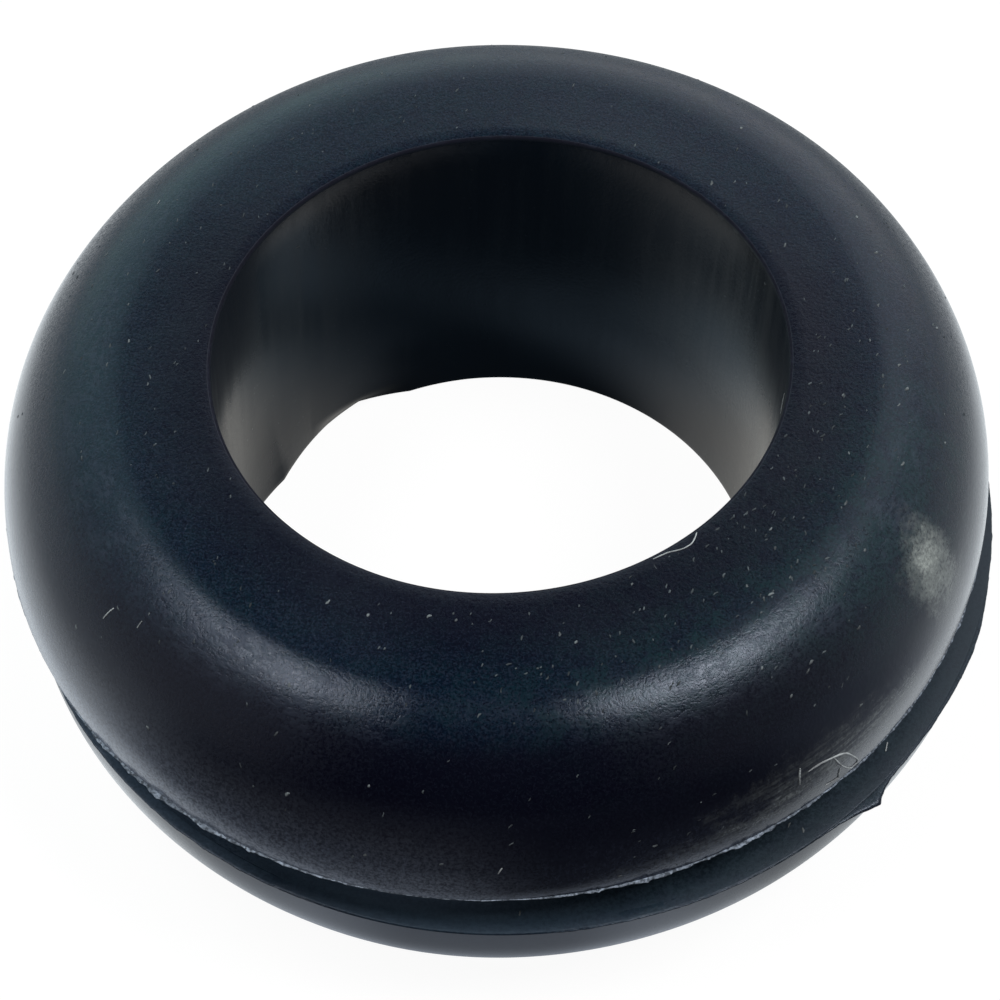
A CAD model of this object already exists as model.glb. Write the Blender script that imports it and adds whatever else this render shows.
"""Rubber wiring grommet: its moulded body, the flash left on it, and the lint and dust that lie on it.

Sizes are in metres, and in mm inside the materials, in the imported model's frame: the bore runs along +Z and
the grommet lies on z = 0.
"""

import logging
import math
from dataclasses import dataclass
from enum import Enum
from typing import Any

import bpy
import numpy as np
from bpy.types import ID, Material, Node, NodeSocket, NodeTree, Object
from mathutils import Matrix, Vector
from mathutils.bvhtree import BVHTree


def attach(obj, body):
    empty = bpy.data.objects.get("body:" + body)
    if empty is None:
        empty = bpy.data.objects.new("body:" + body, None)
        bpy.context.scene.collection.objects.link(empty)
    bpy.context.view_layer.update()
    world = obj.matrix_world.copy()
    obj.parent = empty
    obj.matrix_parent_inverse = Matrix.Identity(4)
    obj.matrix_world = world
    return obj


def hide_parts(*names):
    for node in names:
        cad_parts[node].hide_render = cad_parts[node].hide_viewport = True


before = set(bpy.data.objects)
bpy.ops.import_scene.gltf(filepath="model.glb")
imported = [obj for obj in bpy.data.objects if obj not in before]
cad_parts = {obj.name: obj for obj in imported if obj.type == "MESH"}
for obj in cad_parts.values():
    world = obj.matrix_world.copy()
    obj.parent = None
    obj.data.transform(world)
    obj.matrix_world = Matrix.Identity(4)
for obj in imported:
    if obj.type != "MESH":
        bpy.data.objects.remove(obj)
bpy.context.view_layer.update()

LOG = logging.getLogger("grommet")
NODE = "grommet"
BODY = "root"
MM = 0.001
TAU = 2 * math.pi

Array = np.ndarray
Colour = tuple[float, float, float]
Point = tuple[float, float, float]
Pair = tuple[float, float]
Track = tuple[Pair, ...]


class Half(Enum):
    """Upper or lower flange of the grommet."""

    UPPER = "upper"
    LOWER = "lower"


# ---- shader kit


class Value:
    """A shader socket that takes part in Python arithmetic; each operator adds one Math node."""

    def __init__(self, tree: NodeTree, socket: NodeSocket) -> None:
        """Wraps one output socket of a tree."""
        self.tree = tree
        self.socket = socket

    def math(self, operation: str, *terms: Any) -> "Value":
        """Adds a Math node.

        Args:
            operation: The Math node's operation.
            terms: Its inputs in order, each a Value or a number.

        Returns:
            The node's result.
        """
        node = self.tree.nodes.new("ShaderNodeMath")
        node.operation = operation
        for slot, term in zip(node.inputs, terms):
            plug(self.tree, slot, term)
        return Value(self.tree, node.outputs[0])

    def __add__(self, other: Any) -> "Value":
        """Sum."""
        return self.math("ADD", self, other)

    def __radd__(self, other: Any) -> "Value":
        """Sum with the number first."""
        return self.math("ADD", other, self)

    def __sub__(self, other: Any) -> "Value":
        """Difference."""
        return self.math("SUBTRACT", self, other)

    def __rsub__(self, other: Any) -> "Value":
        """Difference with the number first."""
        return self.math("SUBTRACT", other, self)

    def __mul__(self, other: Any) -> "Value":
        """Product."""
        return self.math("MULTIPLY", self, other)

    def __rmul__(self, other: Any) -> "Value":
        """Product with the number first."""
        return self.math("MULTIPLY", other, self)

    def __truediv__(self, other: Any) -> "Value":
        """Quotient."""
        return self.math("DIVIDE", self, other)

    def __pow__(self, other: Any) -> "Value":
        """Power."""
        return self.math("POWER", self, other)

    def __neg__(self) -> "Value":
        """The same size with the other sign."""
        return self.math("SUBTRACT", 0.0, self)

    def __abs__(self) -> "Value":
        """Size without its sign."""
        return self.math("ABSOLUTE", self)

    def ramp(self, low: float, high: float) -> "Value":
        """Smooth step from 0 at low to 1 at high; low may be the larger of the two."""
        node = self.tree.nodes.new("ShaderNodeMapRange")
        node.interpolation_type = "SMOOTHSTEP"
        low, high, start, end = (high, low, 1.0, 0.0) if low > high else (low, high, 0.0, 1.0)
        settings = {"Value": self, "From Min": low, "From Max": high, "To Min": start, "To Max": end}
        for name, value in settings.items():
            plug(self.tree, node.inputs[name], value)
        return Value(self.tree, node.outputs["Result"])


def plug(tree: NodeTree, slot: NodeSocket, value: Any) -> None:
    """Links a Value or socket to an input, or sets the input to a plain value.

    Args:
        tree: The node tree that holds both.
        slot: The input socket.
        value: A Value, an output socket, a number, a colour or a vector.
    """
    if isinstance(value, Value):
        value = value.socket
    if isinstance(value, NodeSocket):
        tree.links.new(value, slot)
    elif slot.type == "RGBA" and len(value) == 3:
        slot.default_value = (*value, 1.0)
    else:
        slot.default_value = value


class Shader:
    """Node tree of one material or world, filled node by node."""

    def __init__(self, owner: ID) -> None:
        """Empties the node tree of a material or a world."""
        self.owner = owner
        owner.use_nodes = True
        self.tree = owner.node_tree
        self.tree.nodes.clear()

    def node(
        self, kind: str, settings: dict[str, Any] | None = None, sockets: dict[Any, Any] | None = None
    ) -> Node:
        """Adds any node.

        Args:
            kind: Node type without the ShaderNode prefix.
            settings: The node's own properties, set first.
            sockets: Values or links for its inputs, by name or number.

        Returns:
            The new node.
        """
        made = self.tree.nodes.new("ShaderNode" + kind)
        for name, value in (settings or {}).items():
            setattr(made, name, value)
        for name, value in (sockets or {}).items():
            plug(self.tree, made.inputs[name], value)
        return made

    def value(self, kind: str, output: str, **sockets: Any) -> Value:
        """Adds a node and returns one of its outputs as a Value."""
        return Value(self.tree, self.node(kind, None, sockets).outputs[output])

    def place(
        self, stretch: Point = (1.0, 1.0, 1.0), shift: Point = (0.0, 0.0, 0.0), source: Value | None = None
    ) -> Value:
        """Object coordinates in mm, or others as they are, scaled and shifted.

        Args:
            stretch: Factor along each axis; below 1 draws the pattern out along it.
            shift: Distance in mm added along each axis.
            source: Coordinates to use instead of Object coordinates.

        Returns:
            The coordinates.
        """
        if source is None:
            source = self.value("TexCoord", "Object")
            stretch = tuple(factor / MM for factor in stretch)
        return self.value("Mapping", "Vector", Vector=source, Scale=stretch, Location=shift)

    def noise(
        self, size: float, detail: float = 2.0, roughness: float = 0.5, stretch: Point = (1.0, 1.0, 1.0),
        shift: Point = (0.0, 0.0, 0.0), source: Value | None = None,
    ) -> Value:
        """Soft noise from 0 to 1.

        Args:
            size: Size of its largest patches, in mm.
            detail: Number of finer layers.
            roughness: Weight of the finer layers.
            stretch: Factor along each axis.
            shift: Distance along each axis, to draw another part of the pattern.
            source: Coordinates to use instead of Object coordinates.

        Returns:
            The noise value.
        """
        where = self.place(stretch, shift, source)
        return self.value("TexNoise", "Fac", Vector=where, Scale=1 / size, Detail=detail, Roughness=roughness)

    def axes(self, source: Value | None = None) -> list[Value]:
        """The three parts of a vector, which is the place in mm when none is given."""
        parts = self.node("SeparateXYZ", None, {"Vector": source or self.place()})
        return [Value(self.tree, part) for part in parts.outputs]

    def mix(self, factor: Any, first: Any, second: Any) -> NodeSocket:
        """Blend of two colours.

        Args:
            factor: Share of the second colour.
            first: Colour or socket at factor 0.
            second: Colour or socket at factor 1.

        Returns:
            The blended colour's socket.
        """
        made = self.node("Mix", {"data_type": "RGBA", "clamp_factor": True})
        plug(self.tree, made.inputs[0], factor)
        plug(self.tree, made.inputs[6], first)
        plug(self.tree, made.inputs[7], second)
        return made.outputs[2]

    def output(self, shader: Node, kind: str = "OutputMaterial") -> None:
        """Links a shader node's first output to the tree's output."""
        self.tree.links.new(shader.outputs[0], self.node(kind).inputs["Surface"])

    def principled(self, height: Value | None = None, **sockets: Any) -> None:
        """Gives the material a Principled surface.

        Args:
            height: Height of its bump in mm; without one the surface stays smooth.
            sockets: Values or links for its inputs, with _ for each space in a name.
        """
        if height is not None:
            bump = self.node("Bump", None, {"Strength": 1.0, "Distance": MM, "Height": height})
            sockets["Normal"] = bump.outputs["Normal"]
        named = {name.replace("_", " "): item for name, item in sockets.items()}
        self.output(self.node("BsdfPrincipled", None, named))


# ---- finishes


@dataclass(frozen=True)
class Scuff:
    """Patch of wear: its direction in degrees, height and half sizes in mm, strength and share of streaks."""

    angle: float
    height: float
    half_round: float
    half_up: float
    strength: float
    combed: float


@dataclass(frozen=True)
class RubberFinish:
    """Moulded black rubber: a blue-black cast, fine grain, bloom, scuffs and rubbed-off streaks."""

    name: str = "black_rubber"
    deep: Colour = (0.0018, 0.0014, 0.0055)
    worn: Colour = (0.0030, 0.0029, 0.0080)
    top: Colour = (0.0008, 0.0060, 0.0150)
    teal: Colour = (0.0024, 0.0175, 0.0210)
    inner: Colour = (0.0008, 0.0045, 0.0100)
    bloom: Colour = (0.042, 0.053, 0.086)
    smudge: Colour = (0.33, 0.36, 0.34)
    tint: Colour = (0.78, 0.85, 1.0)
    gloss: float = 0.14
    specular: float = 0.33
    draw: Colour = (0.085, 0.094, 0.100)
    shaded: Colour = (0.024, 0.042, 0.062)
    sunk: Colour = (0.020, 0.031, 0.041)
    settled: Colour = (0.15, 0.21, 0.29)
    chalk: Colour = (0.24, 0.27, 0.33)
    grain: float = 0.16
    grain_depth: float = 0.0015
    peel: float = 0.9
    peel_depth: float = 0.004
    wear_depth: float = 0.0036
    mottle_depth: float = 0.0013
    groove_middle: float = 5.2
    flange_reach: float = 12.0
    scuffs: tuple[Scuff, ...] = (
        Scuff(-24.0, 8.85, 0.90, 0.85, 0.70, 0.2),
        Scuff(-23.8, 9.15, 0.55, 0.42, 0.60, 0.2),
        Scuff(-22.3, 7.75, 0.85, 0.75, 0.28, 0.5),
        Scuff(-47.0, 7.15, 2.9, 0.75, 0.30, 0.75),
        Scuff(-56.0, 6.5, 3.6, 0.55, 0.16, 0.75),
        Scuff(-34.0, 7.0, 3.0, 0.45, 0.12, 0.75),
    )

    def material(self) -> Material:
        """Builds the material.

        Returns:
            Principled rubber whose colour, roughness and bump vary over the surface.
        """
        s = Shader(bpy.data.materials.new(self.name))
        x, y, z = s.axes()
        radius = (x * x + y * y) ** 0.5
        aside = abs(x) / radius
        back = x.math("ARCTAN2", x, -y)
        turned = s.value("CombineXYZ", "Vector", X=back * 11, Y=radius, Z=z)
        normal_z = s.axes(s.value("NewGeometry", "Normal"))[2]

        # Parts of the moulding, by place and by the way the skin faces: 0 outside each and 1 in it.
        inside = radius.ramp(7.70, 7.50)
        bore = inside * normal_z.ramp(0.75, 0.25)
        rim = inside * normal_z.ramp(0.05, 0.20) * normal_z.ramp(0.995, 0.95)
        upward = normal_z.ramp(0.1, 0.95) * (1 - inside * normal_z.ramp(0.999, 0.97))
        ridge = normal_z.ramp(0.998, 0.97) * normal_z.ramp(0.40, 0.75)
        groove = abs(z - self.groove_middle).ramp(0.80, 0.72) * (1 - bore)
        outer = z.ramp(5.85, 5.95) * (1 - bore)
        skirt = z.ramp(8.2, 6.1) * outer
        hem = z.ramp(6.22, 6.02) * outer
        lower = z.ramp(4.5, 4.4) * (1 - bore)
        crescent = bore * aside.ramp(0.84, 0.98) * z.ramp(5.5, 8.0)
        left = x.ramp(2, -3) * (-y).ramp(-1, 4)
        toward = x.ramp(-2, 7) * y.ramp(2, -4)
        calm = (-y).ramp(7, 9) * aside.ramp(0.36, 0.10)

        # Patterns, from the coarsest cloud to the finest speck, and streaks round or along the axis.
        cloud = s.noise(6, 3.0, 0.55).ramp(0.30, 0.70)
        film = upward * s.noise(3, 4.0, 0.65, shift=(0.0, 0.0, 30.0)).ramp(0.35, 0.75)
        peel = s.noise(self.peel, 2.0, 0.5, shift=(13.0, 0.0, 0.0))
        patchy = s.noise(0.6, 3.0, 0.65, shift=(0.0, 30.0, 20.0)).ramp(0.38, 0.62)
        grain = s.noise(self.grain, 3.0, 0.6)
        flecks = s.noise(0.10, 2.0, 0.7, shift=(50.0, 0.0, 0.0)).ramp(0.64, 0.80)
        mottle = s.noise(0.085, 3.0, 0.75, shift=(0.0, 20.0, 0.0)).ramp(0.32, 0.68)
        speck = s.noise(0.06, 2.0, 0.8, shift=(20.0, 0.0, 10.0)).ramp(0.43, 0.70)
        combed = s.noise(0.12, 3.0, 0.7, (0.08, 1.0, 1.0), source=turned).ramp(0.40, 0.62)
        rain = s.noise(0.13, 3.0, 0.7, (1.0, 1.0, 0.18), source=turned).ramp(0.48, 0.74)
        pull = s.noise(0.9, 3.0, 0.6, (1.0, 1.0, 0.10), (40.0, 0.0, 0.0), turned).ramp(0.35, 0.70) * bore
        hem = hem * s.noise(0.25, 3.0, 0.7, shift=(30.0, 0.0, 0.0)).ramp(0.36, 0.60)

        # Wear on the ridge, bloom on the left of the side, scuffs, and what cables rubbed off on the bore.
        wear = s.noise(0.13, 3.0, 0.7, (0.4, 1.0, 1.0), source=turned).ramp(0.40, 0.66)
        wear = wear * ridge * normal_z.ramp(0.62, 0.86) * (1 - calm * 0.85)
        wear = wear * s.noise(1.2, 2.0, 0.6, shift=(0.0, 60.0, 0.0)).ramp(0.35, 0.60)
        bloom = (z.ramp(9.0, 6.0) * 0.45 + z.ramp(7.2, 6.1) * 0.9) * outer * left
        bloom = bloom * (mottle * 0.7 + 0.3) * (cloud * 0.4 + 0.6)
        patch = self.worn_patches(s, back, z, combed) * (mottle * 0.6 + 0.4) * (1 - bore)
        drag = bore * aside.ramp(0.30, 0.92) ** 1.7 * (1 - crescent * 0.8)
        drag = drag * (x.ramp(-1, 1) * 0.5 + 0.5) * (pull * 0.5 + 0.5) * (z.ramp(1.0, 5.0) * 0.5 + 0.5)
        drag = drag * (1 - z.ramp(7.5, 9.5) * x.ramp(0.0, -3) * 0.6)
        drag = drag + bore * x.ramp(2, 5.5) * z.ramp(3, 4.5) * z.ramp(8.4, 6.8) * 0.5

        # Colour: the clean rubber, then haze, bore, groove and scuffs over it.
        clean = 1 - radius.ramp(10.3, 7.4) * (y.ramp(2, 7) * -0.75 + 1) * 0.8
        clean = clean * (1 - (-y).ramp(5, 9) * normal_z.ramp(0.97, 0.72) * 0.85)
        top = s.mix(toward * (patchy * 0.7 + 0.3) + patchy * 0.25, self.top, self.teal)
        base = s.mix(cloud * 0.5 + mottle * 0.4, self.deep, self.worn)
        base = s.mix(upward * (mottle * 0.9 + 0.40) * clean, base, top)
        base = s.mix(upward * speck * clean * 0.22, base, self.bloom)
        base = s.mix(bore * 0.7, base, self.inner)
        haze = film * 0.012 + speck * outer * 0.06 + hem * 0.6 + wear * 0.15
        haze = haze + flecks * (upward * 0.5 + 0.3) * 0.15
        low = aside.ramp(0.0, 0.35) * 0.45 + left * 0.9 + 0.35
        haze = haze + skirt * low * (mottle * 0.7 + 0.3) * (rain * 0.5 + 0.5) + lower * mottle * 0.3
        base = s.mix(drag * (mottle * 0.3 + 0.7) * 0.75, s.mix(haze, base, self.bloom), self.draw)
        base = s.mix(groove * (mottle * 0.4 + 0.6), base, s.mix(x.ramp(3, 8), self.shaded, self.sunk))
        amount = mottle * 0.3 + left * 0.8 + 0.3 - x.ramp(0.0, 6) * 0.42
        dusty = x.ramp(-4.5, -6.5) * (mottle * 0.2 + 0.2) + radius.ramp(12.4, 11.6) * amount
        base = s.mix(groove * dusty, base, self.settled)
        base = s.mix(patch, s.mix(bloom * 0.9, base, self.chalk), self.smudge)

        # Roughness and relief.
        rough = self.gloss + cloud * 0.03 + film * 0.04 + mottle * 0.05 + flecks * 0.15
        rough = rough + wear * 0.16 + rim * 0.8 + groove * 0.25 + patch * 0.4 + pull * 0.12
        rough = rough + crescent * 0.35 - bore * 0.07 - calm * 0.05
        rough = rough + normal_z.ramp(0.93, 0.80) * normal_z.ramp(0.45, 0.62) * (1 - calm) * mottle * 0.22
        height = grain * self.grain_depth + peel * self.peel_depth + wear * self.wear_depth
        height = height + mottle * (1 - calm * 0.6) * (ridge + 1) * self.mottle_depth
        s.principled(
            height,
            Base_Color=base,
            Roughness=rough,
            Specular_IOR_Level=self.specular,
            Specular_Tint=self.tint,
        )
        return s.owner

    def worn_patches(self, s: Shader, back: Value, z: Value, combed: Value) -> Value:
        """Strength of all scuffs: each fades from its middle to its edge, measured round the axis and up.

        Args:
            s: The material's node tree.
            back: Direction round the axis in radians, 0 toward the camera's side, growing to the right.
            z: Height in mm.
            combed: Fine streaks round the axis, from 0 to 1.

        Returns:
            Summed strength.
        """
        ragged = (s.noise(0.7, 4.0, 0.7, shift=(0.0, 0.0, 50.0)) - 0.5) * 2.2
        total: Any = 0.0
        for scuff in self.scuffs:
            turn = (back - math.radians(scuff.angle + 90)) * (self.flange_reach / scuff.half_round)
            rise = (z - scuff.height) * (1 / scuff.half_up)
            away = (turn * turn + rise * rise) ** 0.5 + ragged
            streaks = combed * scuff.combed + (1 - scuff.combed)
            total = away.ramp(1.45, 0.10) * streaks * scuff.strength + total
        return total


@dataclass(frozen=True)
class FlashFinish:
    """Torn rubber flash: the same rubber, whitened where it was stretched and broken off."""

    name: str = "torn_rubber_flash"
    dark: Colour = (0.030, 0.040, 0.055)
    torn: Colour = (0.46, 0.54, 0.66)
    depth: float = 0.01

    def material(self) -> Material:
        """Builds the material.

        Returns:
            Rough rubber, mottled between dark and whitened patches.
        """
        s = Shader(bpy.data.materials.new(self.name))
        patches = s.noise(0.5, 3.0, 0.7).ramp(0.38, 0.66)
        fine = s.noise(0.10, 2.0, 0.6, shift=(0.0, 10.0, 0.0))
        base = s.mix((patches * 0.6 + 0.4) * (fine.ramp(0.36, 0.60) * 0.8 + 0.1), self.dark, self.torn)
        s.principled(fine * self.depth, Base_Color=base, Roughness=fine * 0.2 + 0.55, Specular_IOR_Level=0.3)
        return s.owner


@dataclass(frozen=True)
class FloorFinish:
    """Plain white table top that stays white behind the object and keeps its shadow."""

    name: str = "white_floor"
    colour: Colour = (0.80, 0.80, 0.80)
    white_share: float = 0.90
    white: float = 1.05
    plain: float = 0.50
    right: float = 0.84
    left: float = 0.96
    front_share: float = 0.14
    base: float = 0.79
    contact: float = 0.54
    warm: Colour = (1.0, 0.985, 0.93)
    cool: Colour = (0.62, 0.86, 1.05)
    neutral: Colour = (0.90, 0.96, 1.0)
    blue: Colour = (0.78, 0.87, 1.0)
    bore_left: float = 0.46
    bore_right: float = 0.55
    bore_spot: float = 0.20
    bore_middle: float = 0.07
    spot_x: float = 0.7
    spot_y: float = 4.3
    bore_radius: float = 7.0

    def material(self) -> Material:
        """Builds the material.

        Returns:
            Diffuse white mixed with an even white for rays that show the floor as background. Other rays
            find the light that the table gives back: brighter to the sides, dim in front, where the camera's
            side is shaded, and dimmer still under the bore.
        """
        s = Shader(bpy.data.materials.new(self.name))
        x, y, _ = s.axes()
        reach = (x * x + y * y) ** 0.5 + 1e-3
        across = x / reach
        aside = abs(across)

        # The table to the sides, with its contact shadow.
        level = across.ramp(0.45, 0.98) * self.right + (-across).ramp(0.4, 0.95) * self.left
        level = level * (reach.ramp(34, 17) * 0.65 + 0.35) + self.plain
        touch = aside.ramp(0.80, 0.97) * (x.ramp(1, -1) * 0.4 + 0.6)
        touch = touch + across.ramp(0.55, 0.66) * across.ramp(0.87, 0.80) * 0.6
        touch = touch + (-across).ramp(0.95, 0.995) * 0.4
        level = level * (touch * reach.ramp(16, 12.5) * -self.contact + 1)

        # The table in front.
        near = reach.ramp(20.5, 14.5)
        front = ((1 - near) * across.ramp(-0.3, 0.4) * 0.33 - y / reach - near * 0.28).ramp(0.42, 0.74)
        far = reach.ramp(15.6, 17.2)
        foot = (reach.ramp(12.6, 15.2) * 0.5 + 0.5) * (aside.ramp(0.15, 0.45) * 0.75 + 1)
        beyond = (across.ramp(0.70, 0.92) * 0.8 + self.front_share) * self.plain
        level = level * (1 - front) + (far * beyond + (1 - far) * foot * self.base) * front

        # The table under the bore: lit in a patch on each side and a spot at the back.
        right = x.ramp(-0.5, 3.5) * y.ramp(6.7, 4.9) * reach.ramp(4.7, 5.2)
        left = x.ramp(0.0, -5.6) * y.ramp(6.4, 5.0) * (reach.ramp(2, 5) * 0.5 + 0.5)
        left = left * (1 - x.ramp(-3, -1.5) * y.ramp(4.9, 5.4))
        spot = (((x - self.spot_x) ** 2 + (y - self.spot_y) ** 2) ** 0.5).ramp(1.7, 0.3)
        bore = right * self.bore_right + left * self.bore_left + spot * self.bore_spot + self.bore_middle
        outside = reach.ramp(self.bore_radius, self.bore_radius + 2)
        level = bore * (1 - outside) + level * outside

        # Even white for the camera, and the levels above for all other rays.
        seen = Value(s.tree, s.node("LightPath").outputs["Is Camera Ray"])
        colour = s.mix(abs(x).ramp(0.5, 5.0), self.cool, self.warm)
        colour = s.mix(outside, colour, s.mix(front, self.neutral, self.blue))
        strength = seen * self.white + level * (1 - seen)
        even = s.node("Emission", None, {"Color": s.mix(seen, colour, (1.0, 1.0, 1.0)), "Strength": strength})
        diffuse = s.node("BsdfDiffuse", None, {"Color": self.colour})
        share = seen * (self.white_share - 1) + 1
        s.output(s.node("MixShader", None, {0: share, 1: diffuse.outputs[0], 2: even.outputs[0]}))
        return s.owner


# ---- numpy surfaces


def arc(centre: Pair, radius: float, start: float, end: float, count: int) -> Array:
    """Circular arc in a half section: centre + radius * (cos t, sin t), t from start to end in degrees."""
    t = np.radians(np.linspace(start, end, count))
    return np.stack([centre[0] + radius * np.cos(t), centre[1] + radius * np.sin(t)], 1)


def line(start: Pair, end: Pair, count: int) -> Array:
    """Points strictly between two points of a half section, evenly spaced."""
    t = np.linspace(0, 1, count + 2)[1:-1, None]
    return np.array(start) * (1 - t) + np.array(end) * t


def ragged(angle: Array, knots: int, seed: int) -> Array:
    """Uneven edge round a circle: random heights from 0 to 1 at evenly spaced knots, joined by straight runs.

    Args:
        angle: Directions, in radians.
        knots: Number of knots in a full turn.
        seed: Seed of the random heights.

    Returns:
        One height for each direction; the last knot joins the first.
    """
    heights = np.random.default_rng(seed).random(knots)
    return np.interp((angle / TAU) % 1.0, np.linspace(0, 1, knots + 1), np.append(heights, heights[0]))


def swell(points: Array, size: float, seed: int, waves: int = 24) -> Array:
    """Gentle unevenness: a sum of sine waves with random directions and phases.

    Args:
        points: Points, as (..., 3).
        size: Typical wavelength.
        seed: Seed of the directions and phases.
        waves: Number of waves.

    Returns:
        Values of about unit size, one for each point.
    """
    rng = np.random.default_rng(seed)
    way = rng.normal(size=(waves, 3))
    way *= (TAU / size * rng.uniform(0.6, 1.6, waves) / np.linalg.norm(way, axis=1))[:, None]
    phase = rng.uniform(0, TAU, waves)
    return np.sin(points @ way.T + phase).sum(-1) * math.sqrt(2 / waves)


def grid_faces(rows: int, columns: int, closed: bool = True) -> Array:
    """Quads of a grid whose rows close on themselves.

    Args:
        rows: Number of rows.
        columns: Number of points in each row.
        closed: Whether the last row joins the first.

    Returns:
        Four corner numbers for each face, outward when the rows follow each other anticlockwise.
    """
    i = np.arange(rows if closed else rows - 1)[:, None]
    j = np.arange(columns)[None, :]
    up, along = (i + 1) % rows, (j + 1) % columns
    corners = [i * columns + j, i * columns + along, up * columns + along, up * columns + j]
    return np.stack(np.broadcast_arrays(*corners), -1).reshape(-1, 4)


def new_piece(name: str, points: Array, faces: Array, material: Material) -> Object:
    """Puts a numpy surface into a mesh object that rides on the body.

    Args:
        name: Name of the piece.
        points: Corner points in metres, as (count, 3).
        faces: Corner numbers of each quad, as (count, 4).
        material: Its finish.

    Returns:
        The new object, at the origin.
    """
    mesh = bpy.data.meshes.new(name)
    mesh.vertices.add(len(points))
    mesh.vertices.foreach_set("co", points.astype(np.float32).ravel())
    mesh.loops.add(faces.size)
    mesh.loops.foreach_set("vertex_index", faces.astype(np.int32).ravel())
    mesh.polygons.add(len(faces))
    mesh.polygons.foreach_set("loop_start", np.arange(0, faces.size, 4, dtype=np.int32))
    mesh.polygons.foreach_set("use_smooth", np.ones(len(faces), bool))
    mesh.update(calc_edges=True)
    mesh.validate()
    mesh.materials.append(material)
    made = bpy.data.objects.new(name, mesh)
    bpy.context.scene.collection.objects.link(made)
    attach(made, BODY)
    LOG.info("%s: %d points, %d faces", name, len(points), len(faces))
    return made


# ---- the grommet


@dataclass
class MouldedBody:
    """The moulded rubber: two bullnose flanges, the neck between them and the bore."""

    bore_radius: float = 7.0 * MM
    mouth_round: float = 0.1 * MM
    flange_radius: float = 12.5 * MM
    height: float = 10.4 * MM
    side_radius: float = 5.3 * MM
    ridge_radius: float = 2.6 * MM
    groove_width: float = 1.5 * MM
    neck_radius: float = 9.5 * MM
    upper_offset: Pair = (-0.095 * MM, -0.020 * MM)
    lower_offset: Pair = (0.285 * MM, -0.122 * MM)
    bore_offset: Pair = (-0.109 * MM, 0.144 * MM)
    flange_squeeze: float = 0.180 * MM
    flange_squeeze_angle: float = 45.6
    bore_squeeze: float = 0.169 * MM
    bore_squeeze_angle: float = 32.4
    corner_round: float = 0.05 * MM
    root_round: float = 0.15 * MM
    foot_height: float = 0.7 * MM
    lip_height: float = 3.0 * MM
    foot_cuts: Track = (
        (98.0, 0.0), (112.0, -0.02), (124.0, 0.28), (134.0, 0.12), (147.0, -0.17), (152.0, -0.27),
        (160.0, -0.16), (176.0, 0.0),
    )
    sag: float = 0.012 * MM
    columns: int = 780

    def __post_init__(self) -> None:
        """Works out the places that follow from the sizes."""
        self.flange_height = (self.height - self.groove_width) / 2
        self.groove_top = self.flange_height + self.groove_width
        side_height = min(self.side_radius, self.flange_height)
        ridge = self.ridge_radius
        self.side_centre = (self.flange_radius - self.side_radius, self.flange_height - side_height)
        reach = math.sqrt((self.side_radius - ridge) ** 2 - (side_height - ridge) ** 2)
        self.ridge_centre = (self.side_centre[0] + reach, self.flange_height - ridge)
        self.blend_angle = math.degrees(math.atan2(self.ridge_centre[1] - self.side_centre[1], reach))

    def flange_rows(self) -> tuple[Array, Array]:
        """Half section of the upper flange, from the groove's floor round to the bore's mouth.

        Line, quarter circle and arc follow each other: root round, groove face, corner round, bulging side,
        ridge, flat face and mouth round.

        Returns:
            Radius and height of each row, and how far it belongs to the flange (1) or to the bore and neck
            (0).
        """
        low, top, corner, root = self.groove_top, self.height, self.corner_round, self.root_round
        side = (self.side_centre[0], low + self.side_centre[1])
        ridge = (self.ridge_centre[0], low + self.ridge_centre[1])
        mouth = self.bore_radius + self.mouth_round
        first = math.degrees(math.asin(corner / self.side_radius))
        runs = [
            (arc((self.neck_radius + root, low - root), root, 180, 90, 4), 0.0, 0.0),
            (line((self.neck_radius + root, low), (self.flange_radius - corner, low), 4), 0.2, 0.9),
            (arc((self.flange_radius - corner, low + corner), corner, -90, -5, 4), 1.0, 1.0),
            (arc(side, self.side_radius, first, self.blend_angle, 20), 1.0, 1.0),
            (arc(ridge, self.ridge_radius, self.blend_angle, 90, 13)[1:], 1.0, 1.0),
            (line((ridge[0], top), (mouth, top), 5), 0.9, 0.1),
            (arc((mouth, top - self.mouth_round), self.mouth_round, 90, 180, 6), 0.0, 0.0),
        ]
        rows = np.concatenate([points for points, _, _ in runs])
        share = np.concatenate([np.linspace(a, b, len(points)) for points, a, b in runs])
        return rows, share

    def section(self) -> tuple[Array, Array, Array]:
        """Closed half section, anticlockwise: upper flange, bore wall down, lower flange back to the groove.

        Returns:
            Radius and height of each row, its share of the flange, and the offset of its centre.
        """
        upper, share = self.flange_rows()
        lower = upper[::-1] * (1, -1) + (0, self.height)
        above = np.linspace(self.height - self.mouth_round, self.foot_height + 0.03 * MM, 10)[1:]
        below = np.linspace(self.foot_height, self.mouth_round, 6)[:-1]
        heights = np.concatenate([above, below])
        wall = np.stack([np.full(len(heights), self.bore_radius), heights], 1)
        rows = np.concatenate([upper, wall, lower])
        flange = np.concatenate([share, np.zeros(len(wall)), share[::-1]])
        half = np.where(rows[:, 1:] > self.height / 2, self.upper_offset, self.lower_offset)
        offset = np.array(self.bore_offset) * (1 - flange[:, None]) + half * flange[:, None]
        return rows, flange, offset

    def out_of_round(self, angle: Array, flange: Array) -> Array:
        """How far the soft ring bulges: squeeze * cos 2(angle - squeeze angle), for flange and bore.

        Args:
            angle: Directions, in radians.
            flange: Share of the flange, that broadcasts against the directions.

        Returns:
            Change of radius.
        """
        ring = self.flange_squeeze * np.cos(2 * (angle - math.radians(self.flange_squeeze_angle)))
        bore = self.bore_squeeze * np.cos(2 * (angle - math.radians(self.bore_squeeze_angle)))
        return ring * flange + bore * (1 - flange)

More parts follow.
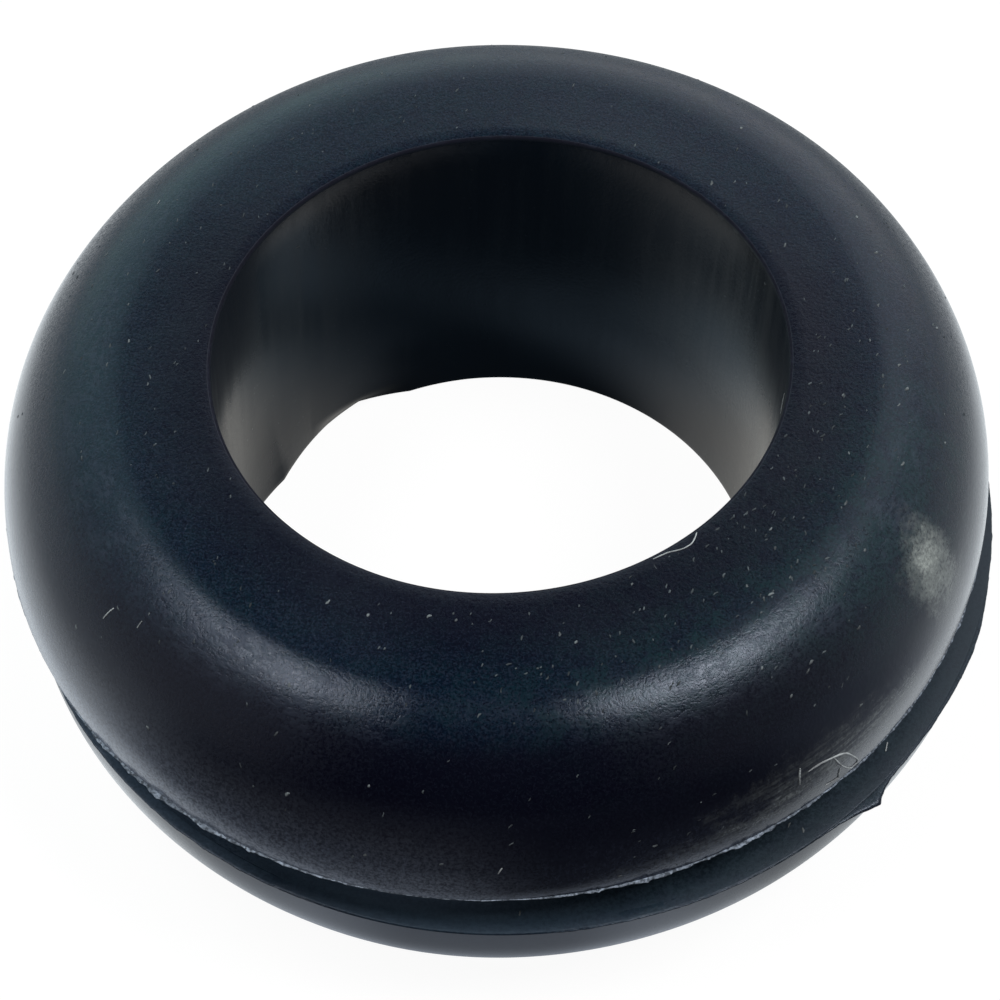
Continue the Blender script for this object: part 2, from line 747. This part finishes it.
    def surface(self) -> Array:
        """The whole skin as a grid: the section turned about the axis, each row round its own centre.

        A point is ((r + q + w) cos a, (r + q + w) sin a, z + w) plus the row's offset, where q is the bulge
        of the soft ring and w a gentle swell of the moulding. At the bore's foot, r also follows the
        straight cuts that trimmed the flash there, more the lower it is.

        Returns:
            Points as (rows, columns, 3).
        """
        rows, flange, offset = self.section()
        angle = np.arange(self.columns) / self.columns * TAU
        r = np.repeat(rows[:, :1], self.columns, 1)
        z = np.repeat(rows[:, 1:], self.columns, 1)
        knots, change = np.array(self.foot_cuts).T
        trim = np.interp(np.degrees(angle), knots, change) * MM
        inner = np.clip((self.bore_radius + 0.6 * MM - r) / (0.5 * MM), 0, 1)
        cut = np.clip((self.foot_height - z) / self.foot_height, 0, 1)
        cut = cut**2 * (3 - 2 * cut)
        lip = np.clip((self.lip_height - z) / self.lip_height, 0, 1) ** 1.5
        r = r + inner * np.where(trim > 0, trim * cut, trim * lip)
        still = np.stack([r * np.cos(angle), r * np.sin(angle), z], -1)
        w = self.sag * swell(still, 9 * MM, 4) * np.clip((r - self.bore_radius) / (2 * MM), 0, 1)
        r = r + self.out_of_round(angle, flange[:, None]) + w
        lift = np.clip(z / MM, 0, 1) * w
        return np.stack([r * np.cos(angle) + offset[:, :1], r * np.sin(angle) + offset[:, 1:], z + lift], -1)

    def build(self, material: Material) -> Object:
        """Makes the body's mesh, which stands for the CAD node."""
        points = self.surface()
        made = new_piece("moulded_body", points.reshape(-1, 3), grid_faces(*points.shape[:2]), material)
        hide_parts(NODE)
        return made


class Skin:
    """Places on the body's surface, by direction round the axis and distance along the half section.

    The distance is 0 where the top flat ends at the bore's mouth, grows outward over the flat, the ridge and
    the side of the upper flange, and is negative down the bore's wall.
    """

    def __init__(self, body: MouldedBody) -> None:
        """Measures the section of a body and keeps its surface."""
        rows = body.section()[0]
        run = np.concatenate([[0.0], np.cumsum(np.linalg.norm(np.diff(rows, axis=0), axis=1))])
        edge = np.array([body.bore_radius + body.mouth_round, body.height])
        mouth = np.argmin(np.linalg.norm(rows - edge, axis=1))
        self.along = run[mouth] - run
        self.grid = body.surface()
        faces = grid_faces(*self.grid.shape[:2])
        self.tree = BVHTree.FromPolygons(self.grid.reshape(-1, 3).tolist(), faces.tolist())

    def under(self, studio: "Studio", track: Track) -> Array:
        """Where the camera's rays meet the skin: each meets a quad at a share of the way round and along it.

        Args:
            studio: The studio, which has the camera.
            track: Places in the camera's view.

        Returns:
            Directions from +X in degrees and distances along the section in mm, as (count, 2).
        """
        rows, columns = self.grid.shape[:2]
        found = []
        for place in track:
            hit, _, face, _ = self.tree.ray_cast(*studio.ray(*place))
            i, j = divmod(face, columns)
            corner = self.grid[i, j]
            beside = self.grid[i, (j + 1) % columns] - corner
            beyond = self.grid[(i + 1) % rows, j] - corner
            sides = np.stack([beside, beyond], 1)
            across, up = np.linalg.lstsq(sides, np.array(hit) - corner, rcond=None)[0]
            along = np.interp(i + up, np.arange(rows), self.along) / MM
            found.append(((j + across) * 360 / columns, along))
        return np.array(found)

    def point(self, angle: Array, along: Array) -> Array:
        """Points of the surface, by straight interpolation between the four nearest corners of its grid.

        Args:
            angle: Directions from +X, in degrees.
            along: Distances along the section, in metres.

        Returns:
            Points, as (..., 3).
        """
        rows, columns = self.grid.shape[:2]
        i = np.interp(-along, -self.along, np.arange(rows))
        j = np.asarray(angle) / 360 * columns
        top, left = np.floor(i).astype(int).clip(0, rows - 2), np.floor(j).astype(int)
        u, v = (i - top)[..., None], (j - left)[..., None]
        left, right = left % columns, (left + 1) % columns
        near = self.grid[top, left] * (1 - v) + self.grid[top, right] * v
        far = self.grid[top + 1, left] * (1 - v) + self.grid[top + 1, right] * v
        return near * (1 - u) + far * u

    def footing(self, angle: Array, along: Array) -> tuple[Array, Array]:
        """Points of the surface, by direction in degrees and distance, with unit vectors off the surface."""
        step = 0.05 * MM
        turn = np.degrees(step / (10 * MM))
        across = self.point(angle + turn, along) - self.point(angle - turn, along)
        out = self.point(angle, along + step) - self.point(angle, along - step)
        off = np.cross(out, across)
        return self.point(angle, along), off / np.linalg.norm(off, axis=-1, keepdims=True)


@dataclass
class FlashLine:
    """Ragged fin of flash along one groove corner, with its root inside the flange.

    Its reach is scaled by share, and tab adds the outline of a torn tab: both are given by direction in
    degrees, the tab's in mm.
    """

    name: str
    body: MouldedBody
    half: Half
    reach: float = 0.09 * MM
    thickness: float = 0.06 * MM
    root: float = 0.3 * MM
    columns: int = 2400
    seed: int = 7
    knots: tuple[int, int, int] = (90, 420, 1100)
    share: Track = ((0.0, 1.0), (360.0, 1.0))
    tab: Track = ((0.0, 0.0), (360.0, 0.0))
    tab_thickness: float = 0.26 * MM

    def surface(self) -> Array:
        """The fin as a grid: a flat rounded loop in each half section, whose reach and thickness are ragged.

        Across the loop, t runs from 0 to a full turn; radius is middle + half length * cos t and height is
        middle + half thickness * sin t, each with its sine and cosine raised to 0.6 for a flatter loop.

        Returns:
            Points as (rows, columns, 3).
        """
        angle = np.arange(self.columns) / self.columns * TAU
        coarse, fine, hair = (ragged(angle, knots, self.seed + k) for k, knots in enumerate(self.knots))
        share = np.interp(np.degrees(angle), *np.array(self.share).T)
        tab = np.interp(np.degrees(angle), *np.array(self.tab).T) * MM
        reach = self.reach * share * (0.25 + 0.9 * coarse * fine + 0.7 * hair * fine) + tab
        thick = self.thickness * (0.45 + 0.5 * coarse + 0.35 * hair) * (0.6 + 0.4 * share)
        thick = thick + (self.tab_thickness - self.thickness) * tab / max(tab.max(), MM / 100)
        droop = self.thickness * 0.3 * hair * fine
        t = np.linspace(0, TAU, 12, endpoint=False)[:, None]
        across = np.sign(np.cos(t)) * np.abs(np.cos(t)) ** 0.6
        along = np.sign(np.sin(t)) * np.abs(np.sin(t)) ** 0.6
        edge = self.body.flange_radius + self.body.out_of_round(angle, np.ones(1))
        inner, tip = edge - self.root, edge + reach
        r = (inner + tip) / 2 + (tip - inner) / 2 * across
        taper = 1 - 0.35 * (across + 1) / 2
        if self.half is Half.UPPER:
            z = self.body.groove_top - droop + thick * (0.5 + 0.5 * along * taper)
            x, y = self.body.upper_offset
        else:
            z = self.body.flange_height + droop * 0.3 - thick * (0.5 - 0.5 * along * taper)
            x, y = self.body.lower_offset
        return np.stack([r * np.cos(angle) + x, r * np.sin(angle) + y, z], -1)

    def build(self, material: Material) -> Object:
        """Makes the fin's mesh."""
        points = self.surface()
        made = new_piece(self.name, points.reshape(-1, 3), grid_faces(*points.shape[:2]), material)
        return made


# Share of the upper flash that is left standing, by direction in degrees.
UPPER_FLASH: Track = (
    (0.0, 0.3), (30.0, 0.1), (60.0, -0.4), (212.0, -0.4), (217.0, 0.2), (224.0, 0.8), (236.0, 1.15),
    (250.0, 0.8), (263.0, 0.3), (276.0, 0.3), (288.0, 1.0), (302.0, 1.0), (318.0, 0.7), (340.0, 0.5),
    (360.0, 0.3),
)

# Outline of the torn tab on the lower flange: direction in degrees and reach in mm.
TORN_TAB: Track = (
    (309.5, 0.0), (312.2, 0.03), (314.9, 0.14), (316.1, 0.22), (317.6, 0.31), (318.2, 0.21), (319.4, 0.11),
    (321.0, 0.04), (326.0, 0.02), (332.0, 0.05), (341.0, 0.10), (347.0, 0.05), (352.0, 0.0),
)


# ---- what lies on it


# Places below are where each thing shows in the camera's view: right from its left edge and down from its top
# edge, in thousandths of its width.

# Specks that stand out.
SPECKS: Track = (
    (789, 825), (803, 830), (560, 634), (576, 642), (632, 584), (771, 529), (775, 548), (790, 577),
    (747, 586), (771, 594), (764, 599), (865, 550), (909, 522), (846, 503), (811, 662), (808, 671),
    (791, 696), (861, 705), (859, 628), (762, 668), (655, 846), (620, 876), (520, 913), (456, 620),
    (429, 616), (328, 602), (368, 615), (276, 734), (287, 794), (369, 786), (148, 728), (149, 614),
    (76, 627), (289, 685), (365, 855), (741, 128), (876, 202), (857, 217), (887, 223), (876, 253),
    (878, 305), (785, 245), (870, 340), (899, 365), (907, 389), (899, 405), (937, 328), (843, 395),
    (945, 443), (903, 464), (849, 453), (712, 183), (129, 341), (159, 202), (148, 384), (298, 247),
    (765, 284),
)

# Fibres, each with its radius in mm and the places that it runs through.
FIBRES: tuple[tuple[float, Track], ...] = (
    (0.022, ((800, 768), (799.5, 776), (799.5, 785))),
    (0.025, ((807.5, 772), (816, 766), (825, 761), (841, 754), (849, 754), (857.5, 760), (853, 766),
            (849, 768), (841, 765), (834, 758))),
    (0.022, ((840, 768), (838.5, 773), (837, 778), (825, 785))),
    (0.016, ((498, 874), (500, 871), (502, 868))),
    (0.016, ((103, 619), (108, 613), (114, 608))),
    (0.013, ((137, 628), (142, 621))),
    (0.020, ((785, 393), (783, 403), (781, 414))),
    (0.018, ((887.5, 742), (886.5, 746.5), (885.5, 751.5))),
)

# A hair along the mouth's rim: its radius in mm, and its track on the skin in degrees and mm.
RIM_HAIR: tuple[float, Track] = (
    0.016, ((302.5, 0.02), (305.8, 0.05), (308.5, 0.15), (310.7, 0.17), (312.2, 0.10), (313.4, 0.01)),
)


@dataclass(frozen=True)
class LintFinish:
    """Pale cotton lint or dust: matt, off-white, uneven in patches whose size is in mm."""

    name: str = "pale_lint"
    pale: Colour = (0.16, 0.18, 0.19)
    grey: Colour = (0.04, 0.045, 0.05)
    patch: float = 0.4

    def material(self) -> Material:
        """Builds the material.

        Returns:
            Rough off-white that changes from speck to speck.
        """
        s = Shader(bpy.data.materials.new(self.name))
        mottle = s.noise(self.patch, 2.0, 0.6).ramp(0.35, 0.65)
        base = s.mix(mottle, self.grey, self.pale)
        s.principled(Base_Color=base, Roughness=mottle * 0.1 + 0.75, Specular_IOR_Level=0.3)
        return s.owner


def smooth_track(track: Array, count: int) -> Array:
    """Smooth curve through the points of a track: Catmull-Rom, evenly spaced in the track's own parameter.

    Args:
        track: Points of any dimension.
        count: Number of points wanted.

    Returns:
        Points, as (count, dimension).
    """
    knots = np.concatenate([2 * track[:1] - track[1:2], track, 2 * track[-1:] - track[-2:-1]])
    t = np.linspace(0, len(track) - 1, count).clip(0, len(track) - 1 - 1e-9)
    i = np.floor(t).astype(int)
    u = (t - i)[:, None]
    a, b, c, d = (knots[i + k] for k in range(4))
    return 0.5 * (2 * b + (c - a) * u + (2 * a - 5 * b + 4 * c - d) * u**2 + (3 * b - a - 3 * c + d) * u**3)


def tube_faces(rings: int, sides: int) -> Array:
    """Quads of a run of rings, each closed on itself, with quads across both end rings.

    Args:
        rings: Number of rings.
        sides: Number of points in each, an even number that turns right-handed about the run.

    Returns:
        Four corner numbers for each face, facing outward.
    """
    k = np.arange(1, sides - 1, 2)
    cap = np.stack([np.zeros_like(k), k, k + 1, k + 2], 1)
    return np.concatenate([grid_faces(rings, sides, False), cap[:, ::-1], cap + (rings - 1) * sides])


def tubes_piece(name: str, grids: Array, material: Material) -> Object:
    """Makes one piece of many closed tubes that have the same rings and sides.

    Args:
        name: Name of the piece.
        grids: Points of all tubes, as (tubes, rings, sides, 3).
        material: Their finish.

    Returns:
        The new object.
    """
    count, rings, sides = grids.shape[:3]
    first = np.arange(count)[:, None, None] * rings * sides
    return new_piece(name, grids.reshape(-1, 3), (tube_faces(rings, sides) + first).reshape(-1, 4), material)


@dataclass
class Lint:
    """Fine fibres that lie on the rubber: round threads along tracks on the skin, tapered at both ends.

    Each has its radius in mm and its track, as directions in degrees and distances along the section in mm.
    """

    skin: Skin
    fibres: list[tuple[float, Array]]
    sides: int = 8
    rings: int = 48
    lift: float = 0.25

    def thread(self, radius: float, track: Array) -> Array:
        """One fibre as a grid of rings.

        A ring's point is middle + radius * taper * (cos t * side + sin t * off), where the middle lies a
        share of the radius off the skin and the taper is the fourth root of 1 - u^6 with u from -1 to 1
        along the fibre.
        """
        path = smooth_track(track, self.rings)
        here, off = self.skin.footing(path[:, 0], path[:, 1] * MM)
        forward = np.gradient(here, axis=0)
        forward /= np.linalg.norm(forward, axis=1, keepdims=True)
        side = np.cross(off, forward)
        u = np.linspace(-1, 1, self.rings)
        taper = np.maximum(1 - u**6, 1e-4) ** 0.25 * (1 + 0.2 * np.sin(u * 23) * np.cos(u * 7))
        t = (np.arange(self.sides) / self.sides * TAU)[None, :, None]
        middle = (here + off * radius * self.lift)[:, None]
        ring = np.cos(t) * side[:, None] + np.sin(t) * off[:, None]
        return middle + radius * taper[:, None, None] * ring

    def build(self, material: Material) -> Object:
        """Makes all fibres as one mesh."""
        grids = np.array([self.thread(radius * MM, track) for radius, track in self.fibres])
        return tubes_piece("lint_fibres", grids, material)


def dust_field(count: int, seed: int) -> Array:
    """Places of fine dust on the upper flange, thicker on the right and in front than elsewhere.

    Args:
        count: Number of places tried; about half of them are kept.
        seed: Seed of the random draws.

    Returns:
        Directions in degrees and distances along the section in mm, as (kept, 2).
    """
    rng = np.random.default_rng(seed)
    angle = rng.uniform(0, 360, count)
    along = rng.uniform(0.1, 8.6, count)
    facing = np.clip(np.cos(np.radians(angle - 325)), 0, 1)
    chance = 0.20 + 0.3 * facing + 0.5 * facing**3 * np.clip(1.4 - along / 4, 0, 1)
    chance *= 1 - 0.7 * np.clip(-np.sin(np.radians(angle)), 0, 1) * np.clip(along / 2 - 1, 0, 1)
    chance *= 1 - 0.95 * (np.abs(np.cos(np.radians(angle))) > 0.6) * np.clip(along / 2 - 2, 0, 1)
    return np.stack([angle, along], 1)[rng.uniform(0, 1, count) < chance]


@dataclass
class Dust:
    """Specks of dust and rubber crumb on the skin: small long lumps, most laid along the wiping direction."""

    name: str
    skin: Skin
    places: Array
    lengths: Array
    widths: Array
    seed: int
    wipe: Pair = (0.36, 0.93)
    sides: int = 6
    rings: int = 6

    def lumps(self) -> Array:
        """Every speck as a grid of rings: an ellipsoid with an uneven outline, half sunk into the skin.

        With u from -1 to 1 along the speck and t round it, a point is centre + length * u * forward + width
        * sqrt(1 - u^2) * (cos t * side + 0.6 sin t * off) / 2, and each ring's width is varied at random.
        """
        rng = np.random.default_rng(self.seed)
        count = len(self.places)
        here, off = self.skin.footing(self.places[:, 0], self.places[:, 1] * MM)
        way = np.array([*self.wipe, 0.0])
        forward = way - off * (off @ way)[:, None]
        forward /= np.linalg.norm(forward, axis=1, keepdims=True)
        side = np.cross(off, forward)
        turn = rng.normal(0, 0.35, count)[:, None]
        straight = forward
        forward = straight * np.cos(turn) + side * np.sin(turn)
        side = side * np.cos(turn) - straight * np.sin(turn)
        u = np.sin(np.linspace(-1, 1, self.rings) * math.pi / 2 * 0.999)
        t = np.arange(self.sides) / self.sides * TAU
        uneven = rng.uniform(0.6, 1.25, (count, self.rings, self.sides))
        girth = np.sqrt(1 - u**2)[None, :, None] * uneven * self.widths[:, None, None] * MM / 2
        bend = rng.normal(0, 0.10, (count, 1, 1)) * (u**2)[None, :, None] * self.lengths[:, None, None] * MM
        along = u[None, :, None] * self.lengths[:, None, None] * MM / 2
        lump = here[:, None, None] + along[..., None] * forward[:, None, None]
        lump = lump + (girth * np.cos(t) + bend)[..., None] * side[:, None, None]
        return lump + (girth * np.sin(t) * 0.6)[..., None] * off[:, None, None]

    def build(self, material: Material) -> Object:
        """Makes all specks as one mesh."""
        return tubes_piece(self.name, self.lumps(), material)


# ---- studio


@dataclass(frozen=True)
class SoftBox:
    """Rectangular lamp that hangs over the table and faces the grommet."""

    name: str
    centre: Point
    length: float
    width: float
    turn: float
    radiance: float

    def hang(self) -> None:
        """Makes the lamp; its power is radiance * area * pi, and its long side is turned from +X."""
        light = bpy.data.lights.new(self.name, "AREA")
        light.shape = "RECTANGLE"
        light.size, light.size_y = self.length, self.width
        light.energy = self.radiance * self.length * self.width * math.pi
        facing = Vector(self.centre).normalized()
        along = Matrix.Rotation(math.radians(self.turn), 3, "Z") @ Vector((1, 0, 0))
        along = (along - facing * along.dot(facing)).normalized()
        across = facing.cross(along)
        made = bpy.data.objects.new(self.name, light)
        aim = Matrix((along, across, facing)).transposed().to_4x4()
        made.matrix_world = Matrix.Translation(self.centre) @ aim
        bpy.context.scene.collection.objects.link(made)


@dataclass
class Studio:
    """White table, soft lamps and the camera."""

    floor_half: float = 1.5
    boxes: tuple[SoftBox, ...] = (
        SoftBox("right_soft_box", (0.168, -0.037, 0.364), 0.144, 0.120, -72.0, 14.2),
        SoftBox("left_soft_box", (-0.146, -0.032, 0.376), 0.206, 0.086, -108.0, 10.0),
    )
    left_tint: Colour = (0.72, 0.98, 0.94)
    lens: float = 114.4
    sensor: float = 36.0
    distance: float = 82.0 * MM
    elevation: float = 55.28
    tilt: float = -0.375
    roll: float = -2.21
    target_height: float = 5.2 * MM

    def floor(self) -> None:
        """Makes the table top at z = 0, as a grid of corners at plus and minus half its side."""
        h = self.floor_half
        points = np.array([(-h, -h, 0), (h, -h, 0), (h, h, 0), (-h, h, 0)], float)
        mesh = bpy.data.meshes.new("floor")
        mesh.from_pydata(points.tolist(), [], [(0, 1, 2, 3)])
        mesh.materials.append(FloorFinish().material())
        made = bpy.data.objects.new("floor", mesh)
        bpy.context.scene.collection.objects.link(made)

    def sky(self) -> None:
        """Gives the world a soft dome, a dark strip overhead and in front, and plain white for the camera.

        With x, y and z as the direction, the dome is brighter toward the back and the horizon. The strip is
        the shade of the camera and the arm that holds it: it lies along the middle up to y = 0.6, and its
        half width grows toward the camera's side.
        """
        world = bpy.data.worlds.new("studio_dome")
        bpy.context.scene.world = world
        s = Shader(world)
        x, y, z = s.axes(s.value("TexCoord", "Generated"))
        half = y.math("MAXIMUM", -y - 0.1, 0.0) * 0.65 + 0.20
        shade = (abs(x) - half).ramp(0.08, -0.06) * (1 - y.ramp(0.595, 0.68))
        glow = x.ramp(0.04, 0.22) * y.ramp(0.05, 0.30)
        bright = z.ramp(0.85, 0.70) * 0.25 + y.ramp(0.0, 0.9) * 0.66 + 0.42 + glow * z.ramp(0.5, 0.7) * 0.22
        bright = bright * (1 - x.ramp(0.42, 0.80) * 0.40 - x.ramp(-0.60, -0.85) * 0.18)
        bright = bright * (1 - (-y).ramp(0.05, 0.45) * (x.ramp(-0.5, 0.5) * 0.35 + 0.20))
        bright = bright * (x.math("MAXIMUM", x, 0.0) * 0.25 + 1) * (1 - shade * (1 - glow * 0.6) * 0.97)
        seen = Value(s.tree, s.node("LightPath").outputs["Is Camera Ray"])
        strength = bright * (1 - seen) + seen
        tint = x.ramp(0.15, -0.35) * y.ramp(0.0, 0.4) * (1 - seen)
        colour = s.mix(tint, (1.0, 1.0, 1.0), self.left_tint)
        s.output(s.node("Background", None, {"Color": colour, "Strength": strength}), "OutputWorld")

    def aim(self) -> Matrix:
        """Place and turn of the camera: in front and above, aimed at the grommet, tilted and rolled."""
        e = math.radians(self.elevation)
        place = Vector((0, -math.cos(e), math.sin(e))) * self.distance + Vector((0, 0, self.target_height))
        look = Matrix.Rotation(math.pi / 2 - e, 4, "X")
        tilt = Matrix.Rotation(math.radians(self.tilt), 4, "X")
        roll = Matrix.Rotation(math.radians(-self.roll), 4, "Z")
        return Matrix.Translation(place) @ look @ tilt @ roll

    def ray(self, right: float, down: float) -> tuple[Vector, Vector]:
        """Ray from the camera through a place in its view.

        Args:
            right: Distance from the view's left edge, in thousandths of its width.
            down: Distance from its top edge, in the same unit.

        Returns:
            The ray's start and direction.
        """
        aim = self.aim()
        way = Vector((right / 500 - 1, 1 - down / 500, -2 * self.lens / self.sensor))
        return aim.translation, aim.to_3x3() @ way.normalized()

    def camera(self) -> None:
        """Sets up the camera."""
        data = bpy.data.cameras.new("camera")
        data.lens, data.sensor_width = self.lens, self.sensor
        data.clip_start, data.clip_end = 0.005, 10.0
        made = bpy.data.objects.new("camera", data)
        made.matrix_world = self.aim()
        bpy.context.scene.collection.objects.link(made)
        bpy.context.scene.camera = made

    def build(self) -> None:
        """Makes the camera, table, dome and lamps."""
        bpy.context.scene.view_settings.view_transform = "Standard"
        self.camera()
        self.floor()
        self.sky()
        for box in self.boxes:
            box.hang()


def main() -> None:
    """Builds the studio and every piece of the grommet in order."""
    logging.basicConfig(level=logging.INFO, format="%(name)s: %(message)s")
    studio = Studio()
    studio.build()
    rubber = RubberFinish().material()
    flash = FlashFinish().material()
    body = MouldedBody()
    body.build(rubber)
    FlashLine("upper_flash", body, Half.UPPER, share=UPPER_FLASH).build(flash)
    FlashLine("lower_flash", body, Half.LOWER, reach=0.02 * MM, seed=31, tab=TORN_TAB).build(rubber)
    skin = Skin(body)
    lint = LintFinish().material()
    dust = LintFinish("settled_dust", (0.080, 0.095, 0.105), (0.016, 0.020, 0.024)).material()
    cotton = LintFinish("cotton_fibre", (0.42, 0.45, 0.46), (0.20, 0.21, 0.22)).material()
    fibres = [(radius, skin.under(studio, track)) for radius, track in FIBRES]
    fibres.append((RIM_HAIR[0], np.array(RIM_HAIR[1])))
    Lint(skin, fibres).build(cotton)
    rng = np.random.default_rng(5)
    named = skin.under(studio, SPECKS)
    lengths, widths = rng.uniform(0.08, 0.17, len(named)), rng.uniform(0.045, 0.080, len(named))
    Dust("stuck_specks", skin, named, lengths, widths, 11).build(lint)
    fine = dust_field(2300, 8)
    lengths, widths = rng.uniform(0.05, 0.16, len(fine)), rng.uniform(0.028, 0.055, len(fine))
    Dust("fine_dust", skin, fine, lengths, widths, 12).build(dust)


if __name__ == "__main__":
    main()
